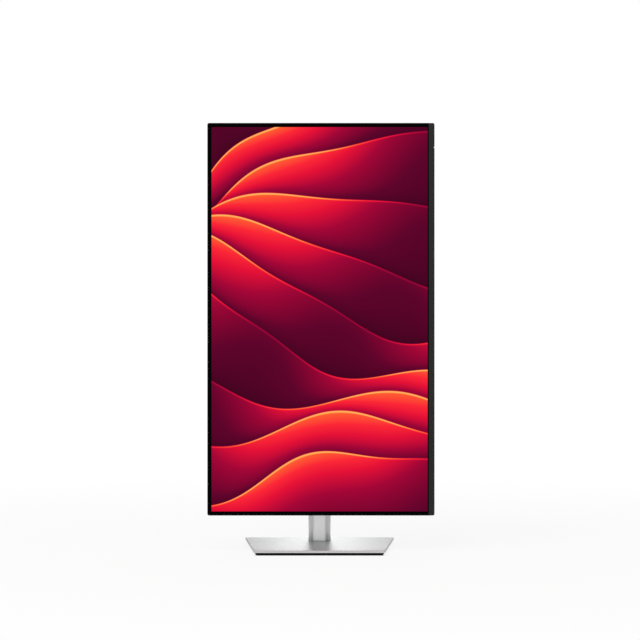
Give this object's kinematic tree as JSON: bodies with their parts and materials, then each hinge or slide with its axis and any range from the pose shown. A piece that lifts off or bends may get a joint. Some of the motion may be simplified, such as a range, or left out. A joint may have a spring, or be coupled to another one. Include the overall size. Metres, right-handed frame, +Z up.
{
  "type": "computer monitor",
  "caption": "Flat widescreen desktop monitor on a silver stand that lifts, tilts, swivels and turns upright, stored in portrait.",
  "frame": {"origin": "centre of the base's footprint, on the desk", "axes": "+Z up, +X to the right of someone in front of the screen, the screen faces -Y; the display is stored upright with its chin at +X"},
  "size_m": [0.3114, 0.18, 0.5881],
  "materials": {
    "satin_silver": "satin silver pressed top of the base",
    "column_silver": "satin anodised column",
    "moulded_black": "fine-textured black moulding",
    "bezel_black": "near-black satin frame",
    "chin_charcoal": "charcoal trim",
    "screen": "display glass with a black border",
    "lens_white": "milky light lens",
    "key_black": "smooth black keys",
    "pad_rubber": "matt rubber pads",
    "plated_steel": "zinc-plated sheet and fittings",
    "spring_steel": "hardened strip and discs",
    "cast_metal": "cast foot and weight",
    "clear_acrylic": "clear light guide",
    "white_film": "white films",
    "board_green": "circuit board",
    "glide_white": "acetal glides and washers",
    "contact_brass": "contacts"
  },
  "bodies": {
    "base": {"base_shell": "satin_silver", "base_weight": "cast_metal", "base_under_cover": "moulded_black", "under_cover_screws": "plated_steel", "rubber_feet": "pad_rubber", "swivel_hub": "plated_steel", "disc_springs": "spring_steel", "swivel_nut": "plated_steel"},
    "thumb_screw": {"base_screw": "plated_steel"},
    "screw_ring": {"base_screw_ring": "plated_steel"},
    "column": {"column_front": "column_silver", "column_rear": "column_silver", "column_bracket": "plated_steel", "swivel_washer": "glide_white", "column_cap": "moulded_black", "cable_grommet": "moulded_black", "lift_rail": "plated_steel", "rail_screws": "plated_steel", "spring_strips": "spring_steel"},
    "spring_reels": {"spring_drums": "spring_steel"},
    "carriage": {"lift_carriage": "plated_steel", "glide_pads": "glide_white"},
    "tilt_head": {"tilt_bracket": "plated_steel", "tilt_pin": "plated_steel", "tilt_nut": "plated_steel", "tilt_washers": "glide_white", "hinge_cover": "moulded_black", "pivot_shaft": "plated_steel", "pivot_washer": "glide_white", "pivot_nut": "plated_steel"},
    "display": {"mounting_plate": "plated_steel", "pivot_disc": "plated_steel", "mount_screws": "plated_steel", "mount_frame": "plated_steel", "rear_cover": "moulded_black", "cover_screws": "plated_steel", "bezel_frame": "bezel_black", "chin_strip": "chin_charcoal", "power_light_lens": "lens_white", "screen_glass": "screen", "optical_films": "white_film", "light_guide": "clear_acrylic", "reflector_sheet": "white_film", "led_bar": "lens_white", "panel_tray": "plated_steel", "driver_board": "board_green", "main_board": "board_green", "power_board": "board_green", "power_transformer": "moulded_black", "power_capacitors": "key_black", "power_inlet": "moulded_black", "inlet_pins": "contact_brass", "hdmi_socket": "plated_steel", "display_socket": "plated_steel", "usb_sockets": "plated_steel", "key_board": "board_green"},
    "power_key": {"power_button": "key_black"},
    "stick_gimbal": {"joystick_gimbal": "glide_white"},
    "stick_stem": {"joystick_stem": "contact_brass"},
    "stick_cap": {"joystick_cap": "key_black"}
  },
  "joints": [
    {"name": "swivel", "type": "hinge", "parent": "base", "child": "column", "pos_m": [0, 0.059, 0.01], "axis": [0, 0, 1], "range_deg": [-45, 45]},
    {"name": "base_screw_turn", "type": "hinge", "parent": "base", "child": "thumb_screw", "pos_m": [0, 0.059, 0.0056], "axis": [0, 0, 1], "continuous": true},
    {"name": "screw_ring_fold", "type": "hinge", "parent": "thumb_screw", "child": "screw_ring", "pos_m": [0, 0.059, 0.00245], "axis": [1, 0, 0], "range_deg": [0, 100]},
    {"name": "height", "type": "slide", "parent": "column", "child": "carriage", "axis": [0, 0, 1], "range_m": [-0.0365, 0.022], "deforming": ["spring_strips"]},
    {"name": "spring_unroll", "type": "hinge", "parent": "column", "child": "spring_reels", "pos_m": [0, 0.0538, 0.345], "axis": [1, 0, 0], "range_deg": [-232.87, 140.56]},
    {"name": "tilt", "type": "hinge", "parent": "carriage", "child": "tilt_head", "pos_m": [0, 0.017, 0.319], "axis": [-1, 0, 0], "range_deg": [-5, 21]},
    {"name": "pivot", "type": "hinge", "parent": "tilt_head", "child": "display", "pos_m": [0, 0, 0.319], "axis": [0, 1, 0], "range_deg": [0, 180]},
    {"name": "power_press", "type": "slide", "parent": "display", "child": "power_key", "axis": [0, -1, 0], "range_m": [0, 0.0008], "stiffness_N_per_m": 800},
    {"name": "stick_tilt_up_down", "type": "hinge", "parent": "display", "child": "stick_gimbal", "pos_m": [0.13563, -0.0307, 0.52412], "axis": [1, 0, 0], "range_deg": [-8, 8], "stiffness_Nm_per_rad": 0.03},
    {"name": "stick_tilt_sideways", "type": "hinge", "parent": "stick_gimbal", "child": "stick_stem", "pos_m": [0.13563, -0.0307, 0.52412], "axis": [0, 0, 1], "range_deg": [-8, 8], "stiffness_Nm_per_rad": 0.03},
    {"name": "stick_press", "type": "slide", "parent": "stick_stem", "child": "stick_cap", "axis": [0, -1, 0], "range_m": [0, 0.0005], "stiffness_N_per_m": 700}
  ],
  "couplings": [
    {"joint": "spring_unroll", "follows": "height", "rad_per_m": 111.11}
  ]
}
